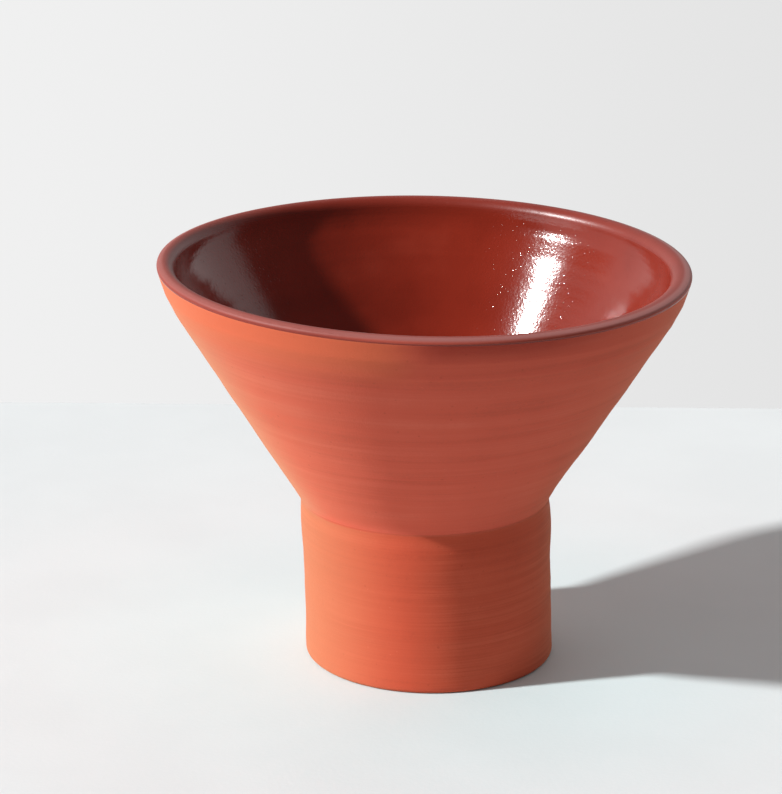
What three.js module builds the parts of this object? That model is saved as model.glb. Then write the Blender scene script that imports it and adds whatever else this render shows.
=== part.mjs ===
// Stemless terracotta cup: a flared bowl luted to a short, straight foot. The clay is bare outside,
// and a clear glaze lines the inside and rolls over the lip.
// Millimetres, +Z up, with the origin in the middle of the ring that the cup stands on.

import * as THREE from 'three';

// Outside, over everything
const rimDiameter = 117.3;
const cupHeight = 91;
const footHeight = 37;
const footDiameter = 55.6;

// Thickness of the clay
const wallAtLip = 3.6;
const wallAtCrease = 5;
const footWall = 4.5;
const floorThickness = 5.5;

// How far the crowned lip falls from its top, in the inner round, to its outer round
const lipCrown = 0.35;

// Brim under the lip, where the wall turns up from its flare
const brimLength = 4.6;
const brimFlare = THREE.MathUtils.degToRad(12);

// Rounds, each named for its edge
const lipOuterRound = 0.5;
const lipInnerRound = 2.2;
const brimOuterRound = 26;
const brimInnerRound = 11;
const creaseRound = 5;
const throatRound = 9;
const floorRound = 7;
const baseRound = 0.9;

// Foot ring, left standing when the underside is trimmed
const footRingWidth = 5;
const footRingHeight = 1.5;
const footRingDraft = 1;
const recessRound = 0.6;

// Luted joint: the bowl has a tongue that seats in a rebate of the foot, bedded in slip all round
const slipThickness = 0.5;
const tongueWidth = 2.2;
const tongueDepth = 3;

// Glaze, with its edge part of the way round the lip's outer round and a pool in the floor corner
const glazeThickness = 0.45;
const glazePool = 1.2;
const glazeEdgeAngle = THREE.MathUtils.degToRad(25);
const glazeEdgeTaper = THREE.MathUtils.degToRad(40);

// Facets
const turnSegments = 64;
const arcStep = THREE.MathUtils.degToRad(15);

// Most of a stretch that the first of its two rounds may take
const firstShare = 0.7;

// A straight stretch of a profile in the radius and height plane, with the clay on its left
class Stretch {
  constructor(point, direction) {
    this.point = point;
    this.direction = direction.clone().normalize();
  }

  // The same stretch moved off the clay by a distance
  lifted(distance) {
    const offTheClay = new THREE.Vector2(this.direction.y, -this.direction.x);
    return new Stretch(this.point.clone().addScaledVector(offTheClay, distance), this.direction);
  }

  // The corner where this stretch and another meet
  meet(other) {
    const apart = other.point.clone().sub(this.point);
    const along = apart.cross(other.direction) / this.direction.cross(other.direction);
    return this.point.clone().addScaledVector(this.direction, along);
  }
}

// Points on an arc, both ends included
function arc(center, radius, from, to) {
  const steps = Math.max(3, Math.ceil(Math.abs(to - from) / arcStep - 1e-6));
  const points = [];
  for (let i = 0; i <= steps; i++) {
    const angle = from + (to - from) * i / steps;
    const spoke = new THREE.Vector2(Math.cos(angle), Math.sin(angle));
    points.push(center.clone().addScaledVector(spoke, radius));
  }
  return points;
}

// A profile through its corners, each given as a point and the radius of its round, or no radius
function profile(corners) {
  const points = [];
  let taken = 0;
  corners.forEach(([corner, round], i) => {
    if (!round) {
      points.push(corner);
      return;
    }
    const back = corners[i - 1][0].clone().sub(corner);
    const onward = corners[i + 1][0].clone().sub(corner);
    const halfAngle = Math.acos(back.dot(onward) / (back.length() * onward.length())) / 2;
    const ahead = onward.length() * (corners[i + 1][1] ? firstShare : 1);
    const room = Math.min(back.length() - taken, ahead);
    const radius = Math.min(round, room * Math.tan(halfAngle));
    const tangent = radius / Math.tan(halfAngle);
    taken = tangent;
    const start = back.clone().setLength(tangent);
    const end = onward.clone().setLength(tangent);
    const toCenter = start.clone().add(end).setLength(radius / Math.sin(halfAngle));
    const from = start.sub(toCenter).angle();
    const turn = end.sub(toCenter).angle() - from;
    const shortTurn = Math.atan2(Math.sin(turn), Math.cos(turn));
    points.push(...arc(corner.clone().add(toCenter), radius, from, from + shortTurn));
  });
  return points;
}

// Cuts a wall's profile in two at a height: both parts get the point there
function cutAt(points, height) {
  const above = (point) => point.y > height;
  const i = points.findLastIndex((point, k) => k > 0 && above(point) !== above(points[k - 1]));
  const [a, b] = [points[i - 1], points[i]];
  const cut = a.clone().lerp(b, (height - a.y) / (b.y - a.y));
  return [[...points.slice(0, i), cut], [cut, ...points.slice(i)]];
}

const at = (radius, height) => new THREE.Vector2(radius, height);

// Places that the pieces share
const footRadius = footDiameter / 2;
const clayTop = cupHeight - glazeThickness;
const floorTop = footRingHeight + floorThickness;
const crease = at(footRadius, footHeight);
const lipCenter = at(rimDiameter / 2 - lipOuterRound, clayTop - lipCrown - lipOuterRound);

// The brim runs tangent to the lip's outer round, and the wall flares from the crease to its foot
const brimDirection = at(Math.sin(brimFlare), Math.cos(brimFlare));
const brimNormal = at(brimDirection.y, -brimDirection.x);
const lipTangent = lipCenter.clone().addScaledVector(brimNormal, lipOuterRound);
const bend = lipTangent.clone().addScaledVector(brimDirection, -brimLength);
const brimStretch = new Stretch(bend, brimDirection);
const wallStretch = new Stretch(crease, bend.clone().sub(crease));

// The stretches of the inside, from the lip to the floor
const innerBend = wallStretch.lifted(-wallAtLip).meet(brimStretch.lifted(-wallAtLip));
const innerCrease = wallStretch.lifted(-wallAtCrease).point;
const brimInside = new Stretch(innerBend, brimDirection.clone().negate());
const coneStretch = new Stretch(innerBend, innerCrease.clone().sub(innerBend));
const wellStretch = new Stretch(at(footRadius - footWall, 0), at(0, -1));
const floorStretch = new Stretch(at(0, floorTop), at(-1, 0));

// The lip's crown runs tangent to its outer round and to the inner round, which tops the clay
const innerRoundLevel = new Stretch(at(0, clayTop - lipInnerRound), at(-1, 0));
const innerRoundCenter = brimInside.lifted(-lipInnerRound).meet(innerRoundLevel);
const acrossLip = innerRoundCenter.sub(lipCenter);
const lipAngle = acrossLip.angle() - Math.acos((lipOuterRound - lipInnerRound) / acrossLip.length());
const crownNormal = at(Math.cos(lipAngle), Math.sin(lipAngle));
const crownStart = lipCenter.clone().addScaledVector(crownNormal, lipOuterRound);
const lipStretch = new Stretch(crownStart, at(-crownNormal.y, crownNormal.x));

// The bare outside, from the middle of the underside to the edge of the glaze
function outside() {
  const ringRadius = footRadius - footRingWidth;
  const body = profile([
    [at(0, footRingHeight)],
    [at(ringRadius - footRingDraft, footRingHeight), recessRound],
    [at(ringRadius, 0), recessRound],
    [at(footRadius, 0), baseRound],
    [crease, creaseRound],
    [bend, brimOuterRound],
    [lipTangent],
  ]);
  body.pop();
  return [...body, ...arc(lipCenter, lipOuterRound, -brimFlare, glazeEdgeAngle)];
}

// The inside, from the edge of the glaze to the middle of the floor, under a coat or bare
function inside(coat, edgeAngle, pool) {
  const lip = lipStretch.lifted(coat);
  const brim = brimInside.lifted(coat);
  const cone = coneStretch.lifted(coat);
  const well = wellStretch.lifted(coat);
  const floor = floorStretch.lifted(coat);
  const overLip = arc(lipCenter, lipOuterRound + coat, edgeAngle, lipAngle);
  const wall = profile([
    [overLip.at(-1)],
    [lip.meet(brim), lipInnerRound + coat],
    [brim.meet(cone), brimInnerRound - coat],
    [cone.meet(well), throatRound + coat],
    [well.meet(floor), floorRound - coat + pool],
    [floor.point],
  ]);
  return [...overLip.slice(0, -1), ...wall];
}

// The joint parts the clay in three: foot, slip and bowl
const bareInside = inside(0, glazeEdgeAngle, 0);
const slipTop = footHeight + slipThickness / 2;
const tongueTip = slipTop - tongueDepth;
const tongueRadius = footRadius - footWall + tongueWidth;
const [footOutside, overFoot] = cutAt(outside(), slipTop - slipThickness);
const [slipOutside, bowlOutside] = cutAt(overFoot, slipTop);
const [bowlInside, underBowl] = cutAt(bareInside, tongueTip);
const [slipInside, footInside] = cutAt(underBowl, tongueTip - slipThickness);

// Turns a closed profile about the cup's axis and names the piece
function turned(name, points, material) {
  const piece = new THREE.Mesh(new THREE.LatheGeometry(points, turnSegments), material);
  piece.name = name;
  return piece;
}

function bowl() {
  const tongue = [at(tongueRadius, tongueTip), at(tongueRadius, slipTop)];
  const clay = new THREE.MeshStandardMaterial({ color: 0xc9704e, roughness: 0.9, metalness: 0 });
  return turned('bowl', [...bowlOutside, ...bowlInside, ...tongue, bowlOutside[0]], clay);
}

function foot() {
  const rebateRadius = tongueRadius + slipThickness;
  const rebate = [
    at(rebateRadius, slipTop - slipThickness),
    at(rebateRadius, tongueTip - slipThickness),
  ];
  const clay = new THREE.MeshStandardMaterial({ color: 0xcb704d, roughness: 0.9, metalness: 0 });
  return turned('foot', [...footOutside, ...rebate, ...footInside], clay);
}

function lutingSlip() {
  const bed = [
    ...slipOutside,
    at(tongueRadius, slipTop),
    at(tongueRadius, tongueTip),
    ...slipInside,
    at(tongueRadius + slipThickness, tongueTip - slipThickness),
    at(tongueRadius + slipThickness, slipTop - slipThickness),
    slipOutside[0],
  ];
  const slip = new THREE.MeshStandardMaterial({ color: 0xc06a4a, roughness: 0.95, metalness: 0 });
  return turned('luting_slip', bed, slip);
}

function glazeLining() {
  const claySide = bareInside.toReversed();
  const freeSide = inside(glazeThickness, glazeEdgeAngle + glazeEdgeTaper, glazePool);
  const glaze = new THREE.MeshStandardMaterial({ color: 0x7d2c20, roughness: 0.15, metalness: 0 });
  return turned('glaze_lining', [...claySide, ...freeSide], glaze);
}

// A lathe turns about Y, so the pieces stand in a group that lays that axis along Z
const upright = new THREE.Group();
upright.rotation.x = Math.PI / 2;
upright.add(bowl(), foot(), lutingSlip(), glazeLining());

const cup = new THREE.Group();
cup.add(upright);

export default cup;
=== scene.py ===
import logging
import math
from dataclasses import dataclass
from enum import Enum

import bmesh
import bpy
from mathutils import Matrix, Vector, noise


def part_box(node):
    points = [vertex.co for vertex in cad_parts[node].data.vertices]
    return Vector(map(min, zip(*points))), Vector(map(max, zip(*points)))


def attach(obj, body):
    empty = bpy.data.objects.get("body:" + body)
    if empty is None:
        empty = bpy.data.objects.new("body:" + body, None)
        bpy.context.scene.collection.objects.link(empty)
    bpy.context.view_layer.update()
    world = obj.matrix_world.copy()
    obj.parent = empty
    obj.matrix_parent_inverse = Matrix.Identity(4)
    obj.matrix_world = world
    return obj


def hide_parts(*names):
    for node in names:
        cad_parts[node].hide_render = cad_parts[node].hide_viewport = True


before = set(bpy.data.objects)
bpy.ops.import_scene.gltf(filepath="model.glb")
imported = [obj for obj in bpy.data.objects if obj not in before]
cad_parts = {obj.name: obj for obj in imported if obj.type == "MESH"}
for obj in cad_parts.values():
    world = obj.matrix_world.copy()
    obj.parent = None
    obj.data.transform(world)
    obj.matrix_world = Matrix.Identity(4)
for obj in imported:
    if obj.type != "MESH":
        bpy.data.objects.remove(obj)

log = logging.getLogger("cup")

MM = 0.001
PICTURE_WIDTH = 782
PICTURE_HEIGHT = 794
BODY = "root"

Color = tuple[float, float, float]
Range = tuple[float, float]
Ramp = tuple[float, float, float, float]
Inputs = dict[str | int, object]


class Slot(Enum):
    """The material slots, one named for each piece; nothing in the script reads them."""

    BOWL_CLAY = "bowl_clay"
    FOOT_CLAY = "foot_clay"
    SLIP = "slip"
    GLAZE = "glaze"


class Layer(Enum):
    """Values that every turned vertex carries into its mesh."""

    ALONG = "along"
    LEFT = "left"
    SHOWN = "shown"


def add_object(name: str, data: bpy.types.ID) -> bpy.types.Object:
    """Adds an object to the scene.

    Args:
        name: Name of the object.
        data: Its mesh, light or camera.

    Returns:
        The object.
    """
    thing = bpy.data.objects.new(name, data)
    bpy.context.scene.collection.objects.link(thing)
    return thing


# Section of the cup


@dataclass(frozen=True)
class Stretch:
    """A straight stretch of the section in radius and height, with the clay on its left."""

    point: Vector
    direction: Vector

    def lifted(self, distance: float) -> "Stretch":
        """Gives the stretch moved off the clay by a distance."""
        way = self.direction.normalized()
        return Stretch(self.point + Vector((way.y, -way.x)) * distance, way)

    def meet(self, other: "Stretch") -> Vector:
        """Finds the corner of two stretches.

        Args:
            other: The stretch that this one runs into.

        Returns:
            The point where the two meet.
        """
        apart = other.point - self.point
        along = apart.cross(other.direction) / self.direction.cross(other.direction)
        return self.point + self.direction * along


@dataclass(frozen=True)
class Corner:
    """A corner of an outline, with the radius of its round."""

    place: Vector
    round: float = 0.0


@dataclass(frozen=True)
class Run:
    """A part of an outline: its corners, and the spacing of its points where it shows."""

    corners: list[Corner]
    pitch: float = 0.0

    @property
    def shown(self) -> bool:
        """Tells whether the run can be seen on the finished cup."""
        return self.pitch > 0


def spoke(angle: float, length: float) -> Vector:
    """Gives a vector in the plane of the section, its angle taken from the radius direction."""
    return Vector((math.cos(angle), math.sin(angle))) * length


def arc_corner(center: Vector, radius: float, start: float, end: float) -> Corner:
    """Makes the corner that rounds off to an arc of a circle, from one angle to another."""
    reach = radius / math.cos((end - start) / 2)
    return Corner(center + spoke((start + end) / 2, reach), radius)


@dataclass(frozen=True)
class CupSection:
    """The section that every piece is turned from. What the frame gives is read from it."""

    floor_top: float
    slip_top: float
    tongue_tip: float
    slip_thickness: float
    rim_radius: float = 58.65 * MM
    height: float = 91 * MM
    foot_radius: float = 27.8 * MM
    foot_height: float = 37 * MM
    wall_at_lip: float = 3.6 * MM
    wall_at_crease: float = 5 * MM
    foot_wall: float = 4.5 * MM
    brim_length: float = 4.6 * MM
    brim_flare: float = math.radians(12)
    brim_outer_round: float = 26 * MM
    brim_inner_round: float = 11 * MM
    lip_crown: float = 0.35 * MM
    lip_outer_round: float = 0.5 * MM
    lip_inner_round: float = 2.2 * MM
    crease_round: float = 5 * MM
    throat_round: float = 9 * MM
    floor_round: float = 7 * MM
    base_round: float = 0.9 * MM
    ring_width: float = 5 * MM
    ring_height: float = 1.5 * MM
    ring_draft: float = 1 * MM
    recess_round: float = 0.6 * MM
    tongue_width: float = 2.2 * MM
    glaze_thickness: float = 0.45 * MM
    glaze_pool: float = 1.2 * MM
    glaze_round: float = 0.74 * MM

    @classmethod
    def from_frame(cls) -> "CupSection":
        """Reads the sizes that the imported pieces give.

        Returns:
            The section with those sizes.
        """
        bowl_low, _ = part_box("bowl")
        slip_low, slip_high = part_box("luting_slip")
        glaze_low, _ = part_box("glaze_lining")
        return cls(
            floor_top=glaze_low.z,
            slip_top=slip_high.z,
            tongue_tip=bowl_low.z,
            slip_thickness=bowl_low.z - slip_low.z,
        )

    @property
    def clay_top(self) -> float:
        """The height of the clay, which the glaze stands over."""
        return self.height - self.glaze_thickness

    @property
    def lip_center(self) -> Vector:
        """The centre of the lip's outer round."""
        reach = self.lip_outer_round
        return Vector((self.rim_radius - reach, self.clay_top - self.lip_crown - reach))

    @property
    def crease(self) -> Vector:
        """The corner where the bowl leaves the foot."""
        return Vector((self.foot_radius, self.foot_height))

    @property
    def wall_end(self) -> Vector:
        """The point where the brim runs into the lip's outer round."""
        return self.lip_center + spoke(-self.brim_flare, self.lip_outer_round)

    @property
    def brim(self) -> Stretch:
        """The outside of the brim, where the wall has turned up from its flare, going up."""
        way = spoke(math.pi / 2 - self.brim_flare, 1)
        return Stretch(self.wall_end - way * self.brim_length, way)

    @property
    def wall(self) -> Stretch:
        """The bowl's outer wall, going up from the crease to the brim."""
        return Stretch(self.crease, self.brim.point - self.crease)

    @property
    def wall_angle(self) -> float:
        """The angle of the bowl's outer wall."""
        return math.atan2(self.wall.direction.y, self.wall.direction.x)

    @property
    def brim_inside(self) -> Stretch:
        """The inside of the brim, going down."""
        foot = self.wall.lifted(-self.wall_at_lip).meet(self.brim.lifted(-self.wall_at_lip))
        return Stretch(foot, -self.brim.direction)

    @property
    def cone(self) -> Stretch:
        """The bowl's inner wall, going down from the brim."""
        top = self.brim_inside.point
        return Stretch(top, self.wall.lifted(-self.wall_at_crease).point - top)

    @property
    def lip_angle(self) -> float:
        """The angle of the crown's normal: it runs tangent to the outer and the inner round."""
        level = Stretch(Vector((0, self.clay_top - self.lip_inner_round)), Vector((-1, 0)))
        middle = self.brim_inside.lifted(-self.lip_inner_round).meet(level)
        across = middle - self.lip_center
        fall = (self.lip_outer_round - self.lip_inner_round) / across.length
        return math.atan2(across.y, across.x) + 2 * math.pi - math.acos(fall)

    @property
    def lip(self) -> Stretch:
        """The crown of the lip, going in."""
        normal = spoke(self.lip_angle, 1)
        start = self.lip_center + normal * self.lip_outer_round
        return Stretch(start, Vector((-normal.y, normal.x)))

    @property
    def well(self) -> Stretch:
        """The inside of the foot, going down."""
        return Stretch(Vector((self.foot_radius - self.foot_wall, 0)), Vector((0, -1)))

    @property
    def floor(self) -> Stretch:
        """The floor of the cup, going in."""
        return Stretch(Vector((0, self.floor_top)), Vector((-1, 0)))

    @property
    def crease_center(self) -> Vector:
        """The centre of the crease's hollow round, outside the clay."""
        foot_side = Stretch(self.crease, Vector((0, 1)))
        reach = self.crease_round
        return foot_side.lifted(reach).meet(self.wall.lifted(reach))

    def crease_angle(self, height: float) -> float:
        """Gives the angle on the crease's round at which a height lies."""
        rise = (height - self.crease_center.y) / self.crease_round
        return math.pi - math.asin(rise)

    def crease_point(self, height: float) -> Vector:
        """Gives the point of the crease's round at a height."""
        return self.crease_center + spoke(self.crease_angle(height), self.crease_round)

    def inner_corners(self, coat: float, edge_angle: float, pool: float = 0.0) -> list[Corner]:
        """Gives the inside from the lip's outer round to the middle of the floor.

        Args:
            coat: How far off the clay the surface lies.
            edge_angle: Angle on the lip's outer round where it starts.
            pool: How much wider than the clay's the floor corner is rounded.

        Returns:
            The corners in order.
        """
        lip, brim = self.lip.lifted(coat), self.brim_inside.lifted(coat)
        cone = self.cone.lifted(coat)
        well, floor = self.well.lifted(coat), self.floor.lifted(coat)
        reach = self.lip_outer_round + coat
        return [
            Corner(self.lip_center + spoke(edge_angle, reach)),
            arc_corner(self.lip_center, reach, edge_angle, self.lip_angle),
            Corner(lip.meet(brim), self.lip_inner_round + coat),
            Corner(brim.meet(cone), self.brim_inner_round - coat),
            Corner(cone.meet(well), self.throat_round + coat),
            Corner(well.meet(floor), self.floor_round - coat + pool),
            Corner(floor.point),
        ]

    def glaze_corners(self) -> list[Corner]:
        """Gives the free side of the glaze, from its edge to the middle of the floor.

        Returns:
            The corners in order. The glaze feathers out where the brim ends.
        """
        coat = self.glaze_thickness
        free = self.inner_corners(coat, self.lip_angle, self.glaze_pool)[2:]
        over_lip = self.brim.meet(self.lip.lifted(coat))
        return [Corner(self.wall_end), Corner(over_lip, self.glaze_round), *free]


# Turning


@dataclass(frozen=True)
class Swell:
    """A place where a thrown wall stands out or in, fading above and below it."""

    height: float
    spread: float
    out: float
    aside: float = 0.0

    def share(self, height: float) -> float:
        """Gives how much of the swell is felt at a height, from 0 to 1."""
        return math.exp(-((height - self.height) / self.spread) ** 2)


def layers(mesh: bmesh.types.BMesh) -> list[bmesh.types.BMLayerItem]:
    """Gives the layers of a turned mesh, in the order of Layer."""
    return [mesh.verts.layers.float[layer.value] for layer in Layer]


SWELLS = [
    Swell(2 * MM, 4 * MM, 0.15 * MM, -0.20 * MM),
    Swell(31 * MM, 5 * MM, 0.32 * MM, 0.10 * MM),
    Swell(43 * MM, 6 * MM, -0.27 * MM, -0.20 * MM),
]


@dataclass(frozen=True)
class MakersHand:
    """What a hand-made cup has and a drawn one lacks: swells, a drift, an oval and rings."""

    drift_at_base: float = 0.7 * MM
    drift_at_crease: float = -0.7 * MM
    drift_at_lip: float = -1.18 * MM
    tilt: float = 0.0161
    oval: float = 0.12 * MM
    oval_heading: float = math.radians(45)
    lip_wave: float = 0.21 * MM
    inside_shift: float = -0.45 * MM
    shift_reach: float = 30 * MM
    ring_depth: float = 0.10 * MM
    ring_pitch: float = 5.5 * MM
    line_depth: float = 0.035 * MM
    line_pitch: float = 1.7 * MM
    ring_waver: float = 0.45
    line_waver: float = 0.9
    line_offset: float = 7.0
    ring_fade: float = 2.5 * MM

    def ring(self, angle: float, distance: float) -> float:
        """Gives the relief of the turning rings.

        Args:
            angle: Angle about the cup's axis.
            distance: Place along the wall.

        Returns:
            How far the surface stands out, in metres.
        """
        around = Vector((math.cos(angle), math.sin(angle), 0))
        slow = around * self.ring_waver + Vector((0, 0, distance / self.ring_pitch))
        quick = around * self.line_waver
        quick += Vector((self.line_offset, 0, distance / self.line_pitch))
        return self.ring_depth * noise.noise(slow) + self.line_depth * noise.noise(quick)

    def drift(self, section: CupSection, height: float) -> float:
        """Gives how far the cup's axis has moved aside at a height.

        Args:
            section: The cup's section.
            height: Height over the table.

        Returns:
            The drift along X, in metres.
        """
        if height < section.foot_height:
            share = height / section.foot_height
            return self.drift_at_base + (self.drift_at_crease - self.drift_at_base) * share
        share = (height - section.foot_height) / (section.height - section.foot_height)
        return self.drift_at_crease + (self.drift_at_lip - self.drift_at_crease) * share

    def shift(self, section: CupSection, place: Vector) -> float:
        """Gives how far the inside stands aside from the outside, most at the lip.

        Args:
            section: The cup's section.
            place: Point of the section, in radius and height.

        Returns:
            The shift along X, in metres.
        """
        depth = section.wall_at_lip
        for side in (section.wall, section.brim):
            inward = side.lifted(-1).point - side.point
            depth = min(depth, (place - side.point).dot(inward))
        share = max(0.0, depth / section.wall_at_lip)
        below = min(1.0, (section.height - place.y) / self.shift_reach)
        return self.inside_shift * share * (1 - below) ** 2 * (1 + 2 * below)

    def shape(self, mesh: bmesh.types.BMesh, section: CupSection) -> None:
        """Moves a turned piece's vertices as the maker's hand did.

        Args:
            mesh: The turned piece.
            section: The cup's section.
        """
        along, _, shown = layers(mesh)
        mesh.normal_update()
        moves = []
        for vert in mesh.verts:
            place = vert.co.copy()
            angle = math.atan2(place.y, place.x)
            rise = place.z / section.height
            radial = Vector((math.cos(angle), math.sin(angle), 0))
            out = self.oval * rise ** 2 * math.cos(2 * (angle - self.oval_heading))
            out += sum(swell.out * swell.share(place.z) for swell in SWELLS)
            move = radial * out * min(1.0, place.xy.length / section.well.point.x)
            move.x += self.drift(section, place.z)
            move.x += sum(swell.aside * swell.share(place.z) for swell in SWELLS)
            move.x += self.shift(section, Vector((place.xy.length, place.z)))
            up_bowl = max(0.0, place.z - section.foot_height)
            up_bowl /= section.height - section.foot_height
            move.z += self.lip_wave * rise ** 6 * math.sin(2 * angle)
            move.z -= self.tilt * up_bowl * place.x
            if vert[shown] > 0.5:
                clear = min(place.z, section.wall_end.y - place.z) / self.ring_fade
                fade = max(0.0, min(1.0, clear))
                move += vert.normal * self.ring(angle, vert[along]) * fade
            moves.append(move)
        for vert, move in zip(mesh.verts, moves):
            vert.co += move


@dataclass(frozen=True)
class Lathe:
    """Turns a closed outline, or one that ends on the axis, into a mesh."""

    spin_steps: int = 288
    arc_step: float = math.radians(10)
    hidden_pitch: float = 2 * MM
    weld: float = 0.001 * MM
    sharp_angle: float = math.radians(38)

    def draw(self, mesh: bmesh.types.BMesh, run: Run, start: float) -> float:
        """Draws one run of the outline as a wire.

        Args:
            mesh: The mesh that takes the wire.
            run: The run.
            start: Distance along the outline at which the run starts.

        Returns:
            The distance at which it ends.
        """
        along, _, shown = layers(mesh)
        earlier = set(mesh.verts)
        verts = [mesh.verts.new((c.place.x, 0, c.place.y)) for c in run.corners]
        first = verts[0].co.copy()
        for a, b in zip(verts, verts[1:]):
            mesh.edges.new((a, b))
        for i, corner in enumerate(run.corners):
            if corner.round and 0 < i < len(verts) - 1:
                back = run.corners[i - 1].place - corner.place
                onward = run.corners[i + 1].place - corner.place
                turn = math.pi - back.angle(onward)
                bmesh.ops.bevel(
                    mesh, geom=[verts[i]], offset=corner.round * math.tan(turn / 2),
                    offset_type="OFFSET", segments=max(2, math.ceil(turn / self.arc_step)),
                    profile=0.5, affect="VERTICES", material=-1,
                )
        ends = [v for v in mesh.verts if v not in earlier and len(v.link_edges) == 1]
        vert = min(ends, key=lambda end: (end.co - first).length)
        vert[along], vert[shown] = start, float(run.shown)
        walked, distance = [], start
        while True:
            onward = [edge for edge in vert.link_edges if edge not in walked[-1:]]
            if not onward:
                break
            walked.append(onward[0])
            distance += onward[0].calc_length()
            vert = onward[0].other_vert(vert)
            vert[along], vert[shown] = distance, float(run.shown)
        pitch = run.pitch if run.shown else self.hidden_pitch
        for edge in walked:
            cuts = math.ceil(edge.calc_length() / pitch) - 1
            if cuts > 0:
                bmesh.ops.subdivide_edges(mesh, edges=[edge], cuts=cuts)
        return distance

    def turn(self, name: str, runs: list[Run], start: float, hand: MakersHand,
             section: CupSection) -> bpy.types.Object:
        """Turns an outline about the cup's axis and shapes it by hand.

        Args:
            name: Name of the piece.
            runs: The outline's runs in order, each starting where the last one ends.
            start: Distance along the outline at which the first run starts.
            hand: The maker's hand.
            section: The cup's section.

        Returns:
            The piece's object, at the origin.
        """
        turned = bmesh.new()
        for layer in Layer:
            turned.verts.layers.float.new(layer.value)
        for run in runs:
            start = self.draw(turned, run, start)
        along, left, shown = layers(turned)
        end = max(vert[along] for vert in turned.verts if vert[shown] > 0.5)
        for vert in turned.verts:
            vert[left] = end - vert[along]
        bmesh.ops.remove_doubles(turned, verts=turned.verts, dist=self.weld)
        bmesh.ops.spin(
            turned, geom=list(turned.verts) + list(turned.edges), cent=(0, 0, 0),
            axis=(0, 0, 1), angle=2 * math.pi, steps=self.spin_steps, use_merge=True,
        )
        bmesh.ops.remove_doubles(turned, verts=turned.verts, dist=self.weld)
        bmesh.ops.recalc_face_normals(turned, faces=turned.faces)
        hand.shape(turned, section)
        mesh = bpy.data.meshes.new(name)
        turned.to_mesh(mesh)
        turned.free()
        mesh.shade_smooth()
        mesh.set_sharp_from_angle(angle=self.sharp_angle)
        return add_object(name, mesh)


# Finishes


@dataclass(frozen=True)
class Pattern:
    """A noise pattern, drawn out round the cup where its scale up the wall is the larger.

    Its share is its part in the play of light and dark, and its depth that of its relief.
    """

    around: float
    up: float
    detail: float
    roughness: float = 0.5
    offset: float = 0.0
    share: float = 0.0
    depth: float = 0.0


@dataclass(frozen=True)
class Specks:
    """Round specks: cells to the metre, radius in cells, share of cells, and strength."""

    scale: float
    size: float
    share: float
    strength: float = 1.0


class NodeTree:
    """A node tree, put together a node at a time."""

    def __init__(self, tree: bpy.types.NodeTree) -> None:
        """Empties the tree and starts it afresh."""
        self.tree = tree
        self.tree.nodes.clear()

    def fill(self, node: bpy.types.Node, inputs: Inputs) -> None:
        """Links or sets the inputs of a node.

        Args:
            node: The node.
            inputs: Another node's output, a number or a colour for each input.
        """
        for key, value in inputs.items():
            socket = node.inputs[key]
            if isinstance(value, bpy.types.NodeSocket):
                self.tree.links.new(value, socket)
            elif socket.type == "RGBA":
                socket.default_value = (*value, 1.0)
            else:
                socket.default_value = value

    def add(self, kind: str, inputs: Inputs | None = None, **settings: object) -> bpy.types.Node:
        """Adds a node.

        Args:
            kind: The node's type.
            inputs: What goes into it.
            settings: Its properties.

        Returns:
            The node.
        """
        node = self.tree.nodes.new(kind)
        for key, value in settings.items():
            setattr(node, key, value)
        self.fill(node, inputs or {})
        return node

    def math(self, operation: str, a: object, b: object = 0.0) -> bpy.types.NodeSocket:
        """Does an operation of the Math node on two values."""
        return self.add("ShaderNodeMath", {0: a, 1: b}, operation=operation).outputs[0]

    def times(self, a: object, b: object) -> bpy.types.NodeSocket:
        """Multiplies two values."""
        return self.math("MULTIPLY", a, b)

    def total(self, parts: list[tuple[object, float]]) -> bpy.types.NodeSocket:
        """Adds up values.

        Args:
            parts: The values, each with its share.

        Returns:
            The total of the shares.
        """
        result, *others = [self.times(value, share) for value, share in parts]
        for other in others:
            result = self.math("ADD", result, other)
        return result

    def band(self, value: object, low: float, high: float, to_low: float = 0.0,
             to_high: float = 1.0) -> bpy.types.NodeSocket:
        """Maps a range of values to another, smoothly and without going past it.

        Args:
            value: The value.
            low: Where the range starts.
            high: Where it ends.
            to_low: Result at the start.
            to_high: Result at the end.

        Returns:
            The mapped value.
        """
        inputs = dict(enumerate((value, low, high, to_low, to_high)))
        node = self.add("ShaderNodeMapRange", inputs, interpolation_type="SMOOTHSTEP")
        return node.outputs[0]

    def blend(self, factor: object, a: object, b: object,
              mode: str = "MIX") -> bpy.types.NodeSocket:
        """Mixes two colours.

        Args:
            factor: Share of the second.
            a: First colour.
            b: Second colour.
            mode: How they mix.

        Returns:
            The mixed colour.
        """
        # A Mix node keeps its sockets for colours behind those for numbers and vectors
        node = self.add("ShaderNodeMix", {0: factor, 6: a, 7: b}, data_type="RGBA",
                        blend_type=mode)
        return node.outputs[2]


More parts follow.
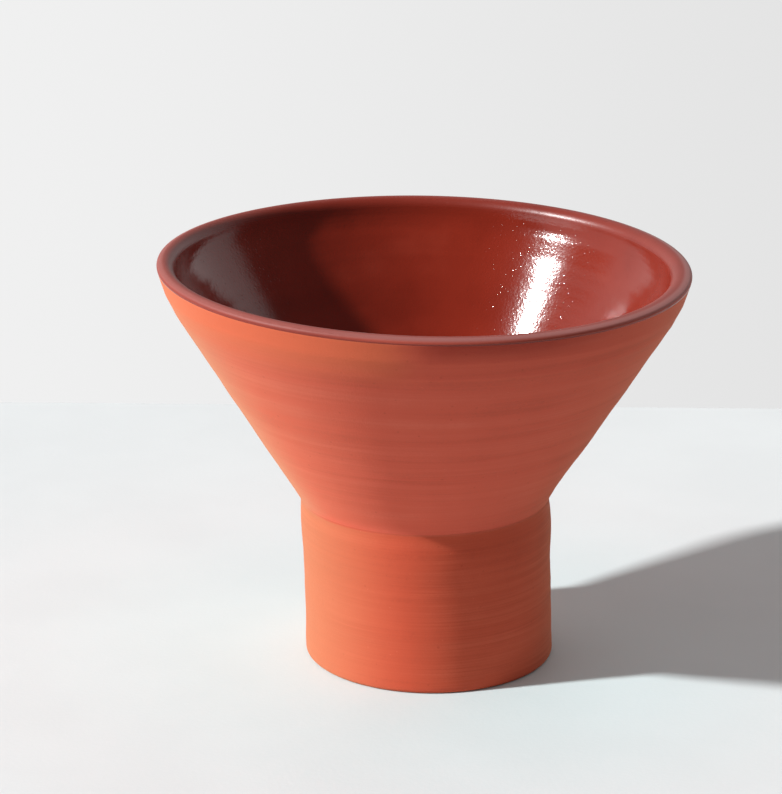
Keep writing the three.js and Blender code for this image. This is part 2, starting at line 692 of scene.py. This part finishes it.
class Shading(NodeTree):
    """The node tree of a material with a Principled surface."""

    def __init__(self, name: str) -> None:
        """Starts a material.

        Args:
            name: Name of the material.
        """
        self.material = bpy.data.materials.new(name)
        self.material.use_nodes = True
        super().__init__(self.material.node_tree)
        self.surface = self.add("ShaderNodeBsdfPrincipled")
        self.add("ShaderNodeOutputMaterial", {"Surface": self.surface.outputs["BSDF"]})
        self.place = self.add("ShaderNodeTexCoord").outputs["Object"]

    def pattern(self, kind: Pattern) -> bpy.types.NodeSocket:
        """Lays a noise pattern over the piece.

        Args:
            kind: The pattern.

        Returns:
            The noise, from 0 to 1 about a half.
        """
        place, scale = self.place, kind.around
        if kind.around != kind.up:
            place, scale = self.add("ShaderNodeMapping", {
                "Vector": self.place, "Scale": (kind.around, kind.around, kind.up),
                "Location": (kind.offset, 0.0, 0.0)}).outputs[0], 1.0
        return self.add("ShaderNodeTexNoise", {
            "Vector": place, "Scale": scale, "Detail": kind.detail,
            "Roughness": kind.roughness}).outputs["Fac"]

    def specks(self, kind: Specks) -> bpy.types.NodeSocket:
        """Scatters round specks.

        Args:
            kind: The specks.

        Returns:
            A mask that is their strength inside the specks.
        """
        cells = self.add("ShaderNodeTexVoronoi", {"Vector": self.place, "Scale": kind.scale})
        pick = self.add("ShaderNodeSeparateColor", {0: cells.outputs["Color"]})
        chosen = self.math("LESS_THAN", pick.outputs[0], kind.share)
        inside = self.band(cells.outputs["Distance"], kind.size / 2, kind.size, 1.0, 0.0)
        return self.times(self.times(chosen, inside), kind.strength)

    def flat(self) -> tuple[bpy.types.NodeSocket, bpy.types.NodeSocket]:
        """Splits the place on the piece.

        Returns:
            Its X coordinate and its distance from the axis.
        """
        x, y, _ = self.add("ShaderNodeSeparateXYZ", {0: self.place}).outputs
        return x, self.math("SQRT", self.math("ADD", self.times(x, x), self.times(y, y)))

    def side(self) -> bpy.types.NodeSocket:
        """Gives the side of the axis that a place lies on, from -1 at the left to 1."""
        return self.math("DIVIDE", *self.flat())

    def relief(self, heights: list[tuple[object, float]]) -> None:
        """Gives the surface a fine relief.

        Args:
            heights: Patterns from 0 to 1, each with its depth in metres.
        """
        normal = {}
        for height, depth in heights:
            bump = self.add("ShaderNodeBump", {
                "Strength": 1.0, "Distance": depth, "Height": height, **normal})
            normal = {"Normal": bump.outputs[0]}
        self.fill(self.surface, normal)

    def attribute(self, layer: Layer) -> bpy.types.NodeSocket:
        """Reads one of the values that the turned vertices carry."""
        return self.add("ShaderNodeAttribute", attribute_name=layer.value).outputs["Fac"]


@dataclass(frozen=True)
class BareClay:
    """Unglazed terracotta: matt, with fine grit, and faintly streaked by turning.

    Its lit left side is painted paler, a painted highlight. Under the lip it is painted warmer on
    that lit side and darker in front, where shade falls: painted light and painted shade.
    """

    name: str
    body: Color = (0.66, 0.094, 0.054)
    pale: Color = (0.73, 0.145, 0.090)
    burnt: Color = (0.50, 0.062, 0.034)
    pale_ramp: Ramp = (0.50, 0.66, 0.0, 0.5)
    burnt_ramp: Ramp = (0.50, 0.36, 0.0, 0.5)
    # Painted highlight: the lit left side of the clay is painted paler
    painted_lit_pale: Color = (0.51, 0.170, 0.096)
    painted_lit_pale_from: float = -0.70
    painted_lit_pale_share: float = 0.70
    # Painted shade: the clay under the lip, in front of the axis, is painted darker
    painted_shade: Color = (0.44, 0.044, 0.026)
    painted_shade_share: float = 0.0
    painted_shade_width: float = 5.0 * MM
    painted_shade_start: Range = (-0.15, 0.08)
    painted_shade_end: Range = (0.80, 0.35)
    # Painted light: a warmer tint under the lip, only on the lit side
    painted_lit_warm: Color = (0.66, 0.125, 0.052)
    painted_lit_warm_share: float = 0.0
    painted_lit_warm_from: float = 3.0 * MM
    painted_lit_warm_width: float = 14.0 * MM
    painted_lit_warm_side: Range = (0.02, -0.2)
    streaks: Pattern = Pattern(9.0, 520.0, 3.0, 0.62, share=0.34, depth=0.05 * MM)
    bands: Pattern = Pattern(7.0, 150.0, 2.0, offset=3.0, share=0.22, depth=0.10 * MM)
    mottle: Pattern = Pattern(48.0, 48.0, 3.0, share=0.26)
    grain: Pattern = Pattern(1900.0, 1900.0, 2.0, 0.6, share=0.18, depth=0.03 * MM)
    fine: Pattern = Pattern(34.0, 2300.0, 2.0, 0.6, depth=0.02 * MM)
    patches: Pattern = Pattern(34.0, 34.0, 1.0)
    patch_ramp: Ramp = (0.40, 0.62, 0.25, 1.0)
    fine_share: float = 0.16
    fine_pale: Range = (0.48, 0.66)
    fine_burnt: Range = (0.48, 0.34)
    burnt_specks: Specks = Specks(430.0, 0.16, 0.30, 0.45)
    pale_specks: Specks = Specks(610.0, 0.13, 0.16, 0.5)
    grain_range: Range = (0.3, 0.7)
    roughness: Range = (0.74, 0.86)
    gloss: float = 0.25
    dust: float = 0.22
    dust_color: Color = (1.0, 0.72, 0.36)
    dust_roughness: float = 0.5

    def paint_light_and_shade(self, work: Shading, color: object) -> bpy.types.NodeSocket:
        """Paints light and shade into the clay's colour, by its side and under the lip.

        Args:
            work: The material.
            color: Its colour so far.

        Returns:
            The colour.
        """
        side = work.side()
        left = work.attribute(Layer.LEFT)
        # Painted highlight: paler towards the lit left side
        painted_lit_pale = work.band(side, self.painted_lit_pale_from, -1.0, 0.0, self.painted_lit_pale_share)
        color = work.blend(painted_lit_pale, color, self.painted_lit_pale)
        # Painted light: warmer under the lip where the lit side is
        painted_lit_warm = work.band(left, self.painted_lit_warm_from, self.painted_lit_warm_width, self.painted_lit_warm_share, 0.0)
        painted_lit_warm = work.times(work.band(side, *self.painted_lit_warm_side), painted_lit_warm)
        color = work.blend(painted_lit_warm, color, self.painted_lit_warm)
        # Painted shade: darker just under the lip, in front, where the brim turns from the floor's
        # light
        painted_shade = work.band(left, 0.0, self.painted_shade_width, self.painted_shade_share, 0.0)
        in_front = work.times(work.band(side, *self.painted_shade_start), work.band(side, *self.painted_shade_end))
        return work.blend(work.times(painted_shade, in_front), color, self.painted_shade)

    def material(self) -> bpy.types.Material:
        """Makes the clay's material.

        Returns:
            The material.
        """
        work = Shading(self.name)
        streaks, bands = work.pattern(self.streaks), work.pattern(self.bands)
        fine, grain = work.pattern(self.fine), work.pattern(self.grain)
        patch = work.band(work.pattern(self.patches), *self.patch_ramp)
        light = work.total([
            (streaks, self.streaks.share), (bands, self.bands.share),
            (work.pattern(self.mottle), self.mottle.share), (grain, self.grain.share)])
        scuff = work.times(patch, work.band(fine, *self.fine_pale, 0.0, self.fine_share))
        rub = work.times(patch, work.band(fine, *self.fine_burnt, 0.0, self.fine_share))
        color = self.body
        for share, other in (
                (work.band(light, *self.pale_ramp), self.pale),
                (work.band(light, *self.burnt_ramp), self.burnt),
                (scuff, self.pale),
                (rub, self.burnt),
                (work.specks(self.burnt_specks), self.burnt),
                (work.specks(self.pale_specks), self.pale)):
            color = work.blend(share, color, other)
        work.fill(work.surface, {
            "Base Color": self.paint_light_and_shade(work, color),
            "Roughness": work.band(grain, *self.grain_range, *self.roughness),
            "Sheen Weight": self.dust,
            "Sheen Roughness": self.dust_roughness,
            "Sheen Tint": self.dust_color,
            "Specular IOR Level": self.gloss,
        })
        work.relief([(bands, self.bands.depth), (streaks, self.streaks.depth),
                     (fine, self.fine.depth), (grain, self.grain.depth)])
        return work.material


@dataclass(frozen=True)
class ClearGlaze:
    """Clear glaze over the same clay: deep, glossy and finely pitted.

    Over the lip it is rougher and paler, and the crown carries a painted highlight, weaker at the
    lit left. Its edge is painted lighter on the shaded right than on the lit left: painted light.
    """

    name: str
    body: Color = (0.220, 0.019, 0.008)
    thin: Color = (0.275, 0.031, 0.015)
    deep: Color = (0.170, 0.013, 0.005)
    thin_ramp: Ramp = (0.50, 0.72, 0.0, 0.6)
    deep_ramp: Ramp = (0.50, 0.30, 0.0, 0.6)
    lip: Color = (0.285, 0.046, 0.031)
    lip_reach: Range = (1.5 * MM, 3.0 * MM)
    # Painted highlight: a pale band on the crown that stands in for its reflection
    crown: Color = (0.310, 0.100, 0.088)
    crown_from: float = 0.5 * MM
    crown_to: float = 2.3 * MM
    crown_fade: float = 0.4 * MM
    crown_highlight_side: Ramp = (-0.5, -0.05, 0.4, 1.0)
    # Painted light: the glaze's edge is painted lighter on the shaded right than on the lit left
    edge: Color = (0.440, 0.072, 0.046)
    edge_on_lit_side: Color = (0.255, 0.034, 0.021)
    edge_lit_to_shaded: Range = (-0.45, -0.05)
    edge_reach: Range = (0.52 * MM, 1.3 * MM)
    fade_reach: Range = (2.6 * MM, 8.0 * MM)
    worn_roughness: float = 0.58
    roughness: float = 0.13
    edge_gloss: float = 0.20
    lip_gloss: float = 0.48
    mottle: Pattern = Pattern(70.0, 70.0, 3.0, share=0.6)
    bands: Pattern = Pattern(8.0, 170.0, 2.0, share=0.4)
    ripple: Pattern = Pattern(260.0, 260.0, 2.0, depth=0.035 * MM)
    peel: Pattern = Pattern(1500.0, 1500.0, 2.0, 0.6, depth=0.030 * MM)
    pits: Specks = Specks(1100.0, 0.26, 0.45)
    pit_depth: float = 0.015 * MM

    def over_lip(self, work: Shading, along: object, color: object) -> bpy.types.NodeSocket:
        """Colours the glaze over the lip, with a painted highlight on the crown and painted light
        on the edge's shaded side.

        Args:
            work: The material.
            along: Distance from the glaze's edge.
            color: The material's colour so far.

        Returns:
            The colour.
        """
        side, fade = work.side(), self.crown_fade
        color = work.blend(work.band(along, *self.lip_reach, 1.0, 0.0), color, self.lip)
        rising = work.band(along, self.crown_from - fade, self.crown_from + fade)
        falling = work.band(along, self.crown_to + fade, self.crown_to - fade)
        # Painted highlight on the crown, weaker on the lit left side
        crown = work.times(rising, work.band(side, *self.crown_highlight_side))
        color = work.blend(work.times(crown, falling), color, self.crown)
        # Painted light: the edge colour goes from the lit left's to the lighter shaded right's
        edge = work.blend(work.band(side, *self.edge_lit_to_shaded), self.edge_on_lit_side, self.edge)
        near_edge = work.band(along, *self.edge_reach, 1.0, 0.0)
        return work.blend(near_edge, color, edge)

    def material(self) -> bpy.types.Material:
        """Makes the glaze's material.

        Returns:
            The material.
        """
        work = Shading(self.name)
        along = work.attribute(Layer.ALONG)
        light = work.total([(work.pattern(self.mottle), self.mottle.share),
                            (work.pattern(self.bands), self.bands.share)])
        color = work.blend(work.band(light, *self.thin_ramp), self.body, self.thin)
        color = work.blend(work.band(light, *self.deep_ramp), color, self.deep)
        gloss = work.band(along, 0.0, self.edge_reach[1], self.edge_gloss, self.lip_gloss)
        work.fill(work.surface, {
            "Base Color": self.over_lip(work, along, color),
            "Roughness": work.band(along, *self.fade_reach, self.worn_roughness, self.roughness),
            "Specular IOR Level": gloss,
        })
        whole = work.math("SUBTRACT", 1.0, work.specks(self.pits))
        work.relief([(work.pattern(self.ripple), self.ripple.depth),
                     (work.pattern(self.peel), self.peel.depth), (whole, self.pit_depth)])
        return work.material


# Pieces


@dataclass(frozen=True)
class Piece:
    """A piece of the cup: the node that it stands for, its slot and how it is turned."""

    section: CupSection
    hand: MakersHand
    lathe: Lathe
    node: str
    slot: Slot

    def runs(self) -> list[Run]:
        """Gives the runs of the piece's outline."""
        raise NotImplementedError

    def material(self) -> bpy.types.Material:
        """Makes the piece's material."""
        raise NotImplementedError

    def start(self) -> float:
        """Gives the distance along the wall at which the outline starts."""
        return 0.0

    def make(self) -> bpy.types.Object:
        """Turns, dresses and seats the piece.

        Returns:
            The piece's object.
        """
        piece = self.lathe.turn(
            self.node + "_fired", self.runs(), self.start(), self.hand, self.section)
        piece.data.materials.append(self.material())
        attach(piece, BODY)
        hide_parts(self.node)
        log.info("%s: %d vertices, %d faces", piece.name, len(piece.data.vertices),
                 len(piece.data.polygons))
        return piece


@dataclass(frozen=True)
class Foot(Piece):
    """The straight section with the floor, and the foot ring that the cup stands on."""

    node: str = "foot"
    slot: Slot = Slot.FOOT_CLAY
    pitch: float = 0.55 * MM

    def start(self) -> float:
        """Gives the distance at which the outline starts, so that its wall reads as height."""
        s = self.section
        return -(s.foot_radius + s.ring_height)

    def runs(self) -> list[Run]:
        """Gives the runs of the foot's outline.

        Returns:
            The underside and outer wall, then the rebate and the inside.
        """
        s = self.section
        ring_inside = s.foot_radius - s.ring_width
        seam = s.slip_top - s.slip_thickness
        seam_angle = s.crease_angle(seam)
        rebate = s.well.point.x + s.tongue_width + s.slip_thickness
        inner_seam = s.tongue_tip - s.slip_thickness
        return [
            Run([
                Corner(Vector((0, s.ring_height))),
                Corner(Vector((ring_inside - s.ring_draft, s.ring_height)), s.recess_round),
                Corner(Vector((ring_inside, 0)), s.recess_round),
                Corner(Vector((s.foot_radius, 0)), s.base_round),
                arc_corner(s.crease_center, s.crease_round, math.pi, seam_angle),
                Corner(s.crease_point(seam)),
            ], self.pitch),
            Run([
                Corner(s.crease_point(seam)),
                Corner(Vector((rebate, seam))),
                Corner(Vector((rebate, inner_seam))),
                Corner(Vector((s.well.point.x, inner_seam))),
                Corner(s.well.meet(s.floor), s.floor_round),
                Corner(s.floor.point),
            ]),
        ]

    def material(self) -> bpy.types.Material:
        """Makes the foot's clay."""
        # The foot's clay also has its lit left side painted paler, a painted highlight
        return BareClay(
            "foot_terracotta", body=(0.56, 0.077, 0.035), pale=(0.65, 0.125, 0.065),
            burnt=(0.43, 0.048, 0.021), painted_lit_pale=(0.47, 0.176, 0.083), painted_lit_pale_from=-0.1,
            painted_lit_pale_share=0.62, fine_share=0.28).material()


@dataclass(frozen=True)
class Bowl(Piece):
    """The flared section with the rounded lip and the tongue underneath."""

    node: str = "bowl"
    slot: Slot = Slot.BOWL_CLAY
    pitch: float = 0.55 * MM

    def start(self) -> float:
        """Gives the distance at which the outline starts, so that rings run on from the foot."""
        return self.section.slip_top

    def runs(self) -> list[Run]:
        """Gives the runs of the bowl's outline.

        Returns:
            The bare outer wall, then the glazed lip and inside with the tongue.
        """
        s = self.section
        seam_angle = s.crease_angle(s.slip_top)
        wall_normal = s.wall_angle - math.pi / 2
        tongue = s.well.point.x + s.tongue_width
        return [
            Run([
                Corner(s.crease_point(s.slip_top)),
                arc_corner(s.crease_center, s.crease_round, seam_angle, wall_normal + math.pi),
                Corner(s.brim.point, s.brim_outer_round),
                Corner(s.wall_end),
            ], self.pitch),
            Run([
                *s.inner_corners(0, -s.brim_flare)[:5],
                Corner(Vector((s.well.point.x, s.tongue_tip))),
                Corner(Vector((tongue, s.tongue_tip))),
                Corner(Vector((tongue, s.slip_top))),
                Corner(s.crease_point(s.slip_top)),
            ]),
        ]

    def material(self) -> bpy.types.Material:
        """Makes the bowl's clay."""
        # The bowl's clay gets the painted shade under the lip in front and the painted warm light
        # on its lit side
        return BareClay("bowl_terracotta", painted_shade_share=0.9, painted_lit_warm_share=0.8).material()


@dataclass(frozen=True)
class LutingSlip(Piece):
    """The bed of slip between the two sections, wiped flush at the crease."""

    node: str = "luting_slip"
    slot: Slot = Slot.SLIP
    pitch: float = 0.25 * MM

    def start(self) -> float:
        """Gives the distance at which the outline starts, on the foot's side of the seam."""
        return self.section.slip_top - self.section.slip_thickness

    def runs(self) -> list[Run]:
        """Gives the runs of the slip's outline.

        Returns:
            The face that shows at the crease, then the bed inside the joint.
        """
        s = self.section
        seam = s.slip_top - s.slip_thickness
        tongue = s.well.point.x + s.tongue_width
        rebate = tongue + s.slip_thickness
        inner_seam = s.tongue_tip - s.slip_thickness
        bed = [
            (tongue, s.slip_top), (tongue, s.tongue_tip), (s.well.point.x, s.tongue_tip),
            (s.well.point.x, inner_seam), (rebate, inner_seam), (rebate, seam),
        ]
        return [
            Run([Corner(s.crease_point(seam)), Corner(s.crease_point(s.slip_top))], self.pitch),
            Run([
                Corner(s.crease_point(s.slip_top)),
                *[Corner(Vector(place)) for place in bed],
                Corner(s.crease_point(seam)),
            ]),
        ]

    def material(self) -> bpy.types.Material:
        """Makes the fired slip."""
        return BareClay(
            "fired_slip", body=(0.55, 0.083, 0.042), pale=(0.64, 0.135, 0.078),
            burnt=(0.43, 0.050, 0.026)).material()


@dataclass(frozen=True)
class GlazeLining(Piece):
    """The coat of clear glaze over the inside and the lip."""

    node: str = "glaze_lining"
    slot: Slot = Slot.GLAZE
    pitch: float = 0.6 * MM

    def runs(self) -> list[Run]:
        """Gives the free side from the edge to the floor, then the side on the clay."""
        s = self.section
        return [Run(s.glaze_corners(), self.pitch), Run(s.inner_corners(0, -s.brim_flare))]

    def material(self) -> bpy.types.Material:
        """Makes the glaze."""
        return ClearGlaze("clear_glaze").material()


# Studio


@dataclass(frozen=True)
class Table:
    """The pale table top that the cup stands on. It isn't part of the cup."""

    left: float = 0.50
    right: float = 0.36
    front: float = 0.19
    back: float = 0.177
    thickness: float = 0.03
    edge_round: float = 1 * MM
    color: Color = (0.690, 0.715, 0.720)
    # Painted light: a cyan tint near the cup that cancels the cup's red bounce light on the table
    bounce_cancelling_tint: Color = (0.620, 0.738, 0.748)
    fade_reach: Range = (30 * MM, 110 * MM)
    mottle: Pattern = Pattern(30.0, 30.0, 4.0)
    mottle_ramp: Ramp = (0.3, 0.7, 0.97, 1.0)
    grain: Pattern = Pattern(900.0, 900.0, 2.0, depth=0.03 * MM)
    roughness: float = 0.7

    def make(self) -> bpy.types.Object:
        """Makes the table top.

        Returns:
            Its object.
        """
        slab = bmesh.new()
        bmesh.ops.create_cube(slab, size=1.0)
        size = Vector((self.left + self.right, self.front + self.back, self.thickness))
        middle = Vector((self.right - self.left, self.back - self.front, -self.thickness)) / 2
        bmesh.ops.transform(
            slab, matrix=Matrix.Translation(middle) @ Matrix.Diagonal((*size, 1)),
            verts=slab.verts)
        bmesh.ops.bevel(
            slab, geom=slab.edges, offset=self.edge_round, offset_type="OFFSET", segments=3,
            profile=0.5, affect="EDGES", material=-1)
        mesh = bpy.data.meshes.new("table")
        slab.to_mesh(mesh)
        slab.free()
        work = Shading("table_paint")
        shade = work.band(work.pattern(self.mottle), *self.mottle_ramp)
        _, away = work.flat()
        # Painted light: near the cup the paint is tinted to cancel the red bounce light
        paint = work.blend(work.band(away, *self.fade_reach), self.bounce_cancelling_tint, self.color)
        color = work.blend(1.0, paint, shade, "MULTIPLY")
        work.fill(work.surface, {"Base Color": color, "Roughness": self.roughness})
        work.relief([(work.pattern(self.grain), self.grain.depth)])
        mesh.materials.append(work.material)
        table = add_object("table", mesh)
        return table


@dataclass(frozen=True)
class Studio:
    """The light: a key from the left, a dim room, and a pale wall behind the table."""

    key_heading: float = math.radians(195)
    key_height: float = math.radians(36)
    key_strength: float = 4.6
    key_angle: float = math.radians(3.5)
    key_color: Color = (1.0, 1.0, 1.0)
    card_place: tuple[float, float, float] = (-0.55, -0.28, 0.12)
    card_aim: tuple[float, float, float] = (0.0, 0.0, 0.06)
    card_width: float = 0.40
    card_height: float = 0.22
    card_power: float = 0.50
    wall_left: float = 0.875
    wall_right: float = 0.77
    wall_turn: Range = (-0.16, 0.16)
    ceiling_seen: float = 0.08
    ceiling_behind: Ramp = (-0.1, 0.6, -0.30, 0.80)
    ceiling_at_left: Ramp = (-0.6, -0.9, -0.30, 0.60)
    ceiling_edge: Range = (-0.20, 0.20)
    overhead: float = 0.275
    around: float = 0.105
    overhead_from: Range = (0.1, 0.6)
    wall_light: float = 0.90
    wall_light_from: Range = (0.25, 0.6)
    wall_light_under: Range = (0.45, 0.65)

    def make(self) -> None:
        """Lights the cup."""
        lamp = bpy.data.lights.new("key", "SUN")
        lamp.energy = self.key_strength
        lamp.angle = self.key_angle
        lamp.color = self.key_color
        key = add_object("key", lamp)
        level = math.cos(self.key_height)
        toward = Vector((math.cos(self.key_heading) * level,
                         math.sin(self.key_heading) * level, math.sin(self.key_height)))
        key.rotation_euler = toward.to_track_quat("Z", "Y").to_euler()
        self.card()
        self.room()

    def card(self) -> None:
        """Sets up the pale card at the left that lights the cup from low down."""
        lamp = bpy.data.lights.new("card", "AREA")
        lamp.shape = "RECTANGLE"
        lamp.size = self.card_width
        lamp.size_y = self.card_height
        lamp.energy = self.card_power
        card = add_object("card", lamp)
        card.location = self.card_place
        way = Vector(self.card_aim) - Vector(self.card_place)
        card.rotation_euler = way.to_track_quat("-Z", "Y").to_euler()
        card.visible_camera = False

    def room(self) -> None:
        """Makes the room round the table, as the world."""
        world = bpy.data.worlds.new("room")
        world.use_nodes = True
        bpy.context.scene.world = world
        work = NodeTree(world.node_tree)
        way = work.add("ShaderNodeTexCoord").outputs["Generated"]
        x, y, z = work.add("ShaderNodeSeparateXYZ", {0: way}).outputs
        behind = work.band(y, *self.ceiling_behind)
        at_left = work.band(x, *self.ceiling_at_left)
        over = work.math("SUBTRACT", z, work.math("MAXIMUM", behind, at_left))
        wall = work.band(x, *self.wall_turn, self.wall_left, self.wall_right)
        dimmer = work.times(work.band(over, *self.ceiling_edge),
                            work.math("SUBTRACT", wall, self.ceiling_seen))
        seen = work.math("SUBTRACT", wall, dimmer)
        lit = work.band(z, *self.overhead_from, self.around, self.overhead)
        back = work.times(work.band(y, *self.wall_light_from, 0.0, self.wall_light),
                          work.band(z, *self.wall_light_under, 1.0, 0.0))
        path = work.add("ShaderNodeLightPath").outputs
        shows = work.math("MAXIMUM", path["Is Camera Ray"], path["Is Glossy Ray"])
        shows = work.math("MAXIMUM", shows, path["Is Transmission Ray"])
        light = work.add("ShaderNodeMix", {0: shows, 2: work.math("ADD", lit, back), 3: seen},
                         data_type="FLOAT")
        background = work.add("ShaderNodeBackground", {
            "Color": (1.0, 1.0, 1.0), "Strength": light.outputs[0]})
        work.add("ShaderNodeOutputWorld", {0: background.outputs[0]})


@dataclass(frozen=True)
class Viewpoint:
    """The photograph's viewpoint: low, from the front, with a long lens."""

    place: tuple[float, float, float] = (0.0, -0.71863, 0.29282)
    look: tuple[float, float, float] = (-0.00839, 0.0, 0.05961)
    roll: float = math.radians(0.254)
    focal_pixels: float = 3396.9
    sensor: float = 36.0

    def make(self) -> bpy.types.Object:
        """Makes the camera.

        Returns:
            Its object.
        """
        lens = bpy.data.cameras.new("viewpoint")
        lens.sensor_fit = "AUTO"
        lens.sensor_width = self.sensor
        lens.lens = self.focal_pixels * self.sensor / max(PICTURE_WIDTH, PICTURE_HEIGHT)
        camera = add_object("viewpoint", lens)
        place = Vector(self.place)
        turn = (Vector(self.look) - place).to_track_quat("-Z", "Y").to_matrix().to_4x4()
        roll = Matrix.Rotation(self.roll, 4, "Z")
        camera.matrix_world = Matrix.Translation(place) @ turn @ roll
        bpy.context.scene.camera = camera
        return camera


def main() -> None:
    """Builds the cup, its table, light and camera."""
    logging.basicConfig(level=logging.INFO, format="%(name)s: %(message)s")
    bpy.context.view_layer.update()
    scene = bpy.context.scene
    scene.view_settings.view_transform = "Standard"
    Viewpoint().make()
    section = CupSection.from_frame()
    hand = MakersHand()
    lathe = Lathe()
    for kind in (Foot, LutingSlip, Bowl, GlazeLining):
        kind(section, hand, lathe).make()
    Table().make()
    Studio().make()


if __name__ == "__main__":
    main()
